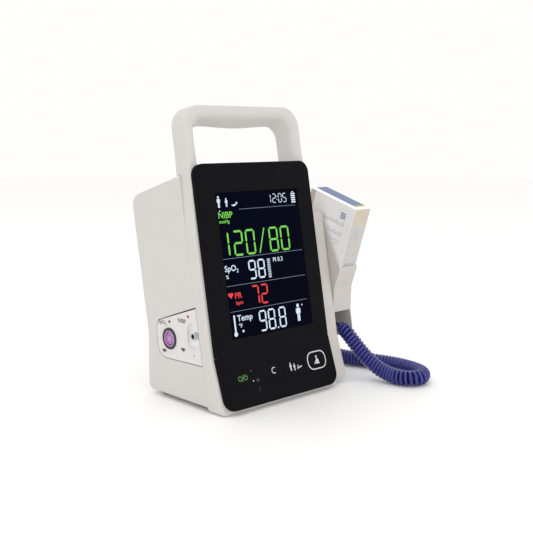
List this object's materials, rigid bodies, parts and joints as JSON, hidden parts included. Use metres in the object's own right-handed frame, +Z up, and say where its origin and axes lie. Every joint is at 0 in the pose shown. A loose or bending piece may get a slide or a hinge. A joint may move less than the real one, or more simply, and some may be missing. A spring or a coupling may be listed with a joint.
{
  "type": "patient monitor",
  "caption": "Table-top vital-signs monitor with a leaning screen, loop handle, side connector panel and a temperature module with probe, coiled cord and carton.",
  "frame": {"origin": "on the table, under the middle of the box of the monitor with its temperature module, carton and probe, leaving out the free cord", "axes": "+X to the right of a person facing the screen, +Y from the screen to the rear wall, +Z up"},
  "size_m": [0.2243, 0.2142, 0.2545],
  "materials": {
    "housing": "fine moulded texture, warm off-white",
    "module_housing": "fine moulded texture, warm off-white",
    "panel": "smooth, near-white",
    "block": "satin black",
    "window": "clear hard-coated window over a dark display",
    "keys": "satin black",
    "rubber": "matt grey",
    "seal": "matt foam",
    "silicone": "translucent grey",
    "board": "solder-masked circuit board",
    "supply": "solder-masked circuit board",
    "lcd": "liquid crystal panel",
    "diffuser": "white backlight",
    "sheet_metal": "plain sheet",
    "screw": "zinc plated",
    "brass": "turned",
    "contacts": "gold plated",
    "dark_plastic": "fine texture",
    "port_metal": "tinned shell",
    "battery": "fine moulded texture",
    "spo2": "purple connector face",
    "fitting": "turned hose fitting",
    "pump": "motor can",
    "rotor": "laminated rotor",
    "valves": "valve block",
    "tubing": "silicone tube",
    "well": "smooth liner",
    "probe": "blue handle",
    "probe_metal": "polished shaft",
    "button": "pale grey button",
    "boot": "blue strain relief",
    "carton": "printed card",
    "covers": "thin clear plastic",
    "cord": "blue-violet jacket"
  },
  "bodies": {
    "monitor": {"front_housing": "housing", "handle_back_cover": "housing", "rear_housing": "housing", "base_plate": "housing", "mounting_inserts": "brass", "rubber_feet": "rubber", "screen_bezel": "block", "bezel_gasket": "seal", "display_window": "window", "keypad_panel": "block", "key_mat": "silicone", "key_board": "board", "lcd_panel": "lcd", "lcd_backlight": "diffuser", "lcd_frame": "sheet_metal", "board_spacers": "brass", "main_board": "board", "board_screws": "screw", "chassis_plate": "sheet_metal", "power_supply": "supply", "mains_inlet": "dark_plastic", "data_ports": "port_metal", "battery_contacts": "dark_plastic", "connector_panel": "panel", "spo2_ring": "dark_plastic", "spo2_insert": "spo2", "spo2_pins": "contacts", "hose_fitting": "fitting", "spo2_board": "board", "pump_body": "pump", "valve_block": "valves", "air_tubes": "tubing", "speaker": "dark_plastic", "case_screws": "screw", "module_inner_case": "module_housing", "module_outer_case": "module_housing", "module_board": "board", "module_screws": "screw", "probe_well": "well", "cord_socket": "dark_plastic", "cord_plug": "boot", "curly_cord": "cord"},
    "power_button": {"power_key": "keys"},
    "night_button": {"night_key": "keys"},
    "patient_button": {"patient_key": "keys"},
    "start_stop_button": {"start_stop_key": "keys"},
    "battery": {"battery_pack": "battery"},
    "rotor": {"pump_rotor": "rotor"},
    "probe": {"probe_handle": "probe", "probe_shaft": "probe_metal", "probe_cord_boot": "boot"},
    "probe_button": {"probe_eject_button": "button"},
    "carton": {"cover_carton": "carton", "probe_covers": "covers"}
  },
  "joints": [
    {"name": "power_press", "type": "slide", "parent": "monitor", "child": "power_button", "axis": [0, 0.9478, -0.319], "range_m": [0, 0.0008], "stiffness_N_per_m": 600},
    {"name": "night_press", "type": "slide", "parent": "monitor", "child": "night_button", "axis": [0, 0.9478, -0.319], "range_m": [0, 0.0008], "stiffness_N_per_m": 600},
    {"name": "patient_press", "type": "slide", "parent": "monitor", "child": "patient_button", "axis": [0, 0.9478, -0.319], "range_m": [0, 0.0008], "stiffness_N_per_m": 600},
    {"name": "start_stop_press", "type": "slide", "parent": "monitor", "child": "start_stop_button", "axis": [0, 0.9478, -0.319], "range_m": [0, 0.0008], "stiffness_N_per_m": 600},
    {"name": "battery_slide", "type": "slide", "parent": "monitor", "child": "battery", "axis": [0, 1, 0], "range_m": [0, 0.052]},
    {"name": "rotor_spin", "type": "hinge", "parent": "monitor", "child": "rotor", "pos_m": [-0.00525, 0.01876, 0.14059], "axis": [1, 0, 0], "continuous": true},
    {"name": "probe_lift", "type": "slide", "parent": "monitor", "child": "probe", "axis": [0, 0.1771, 0.9842], "range_m": [0, 0.1]},
    {"name": "eject_press", "type": "slide", "parent": "probe", "child": "probe_button", "axis": [0, -0.1771, -0.9842], "range_m": [0, 0.003], "stiffness_N_per_m": 300},
    {"name": "carton_lift", "type": "slide", "parent": "monitor", "child": "carton", "axis": [0, -0.3024, 0.9532], "range_m": [0, 0.06]}
  ]
}
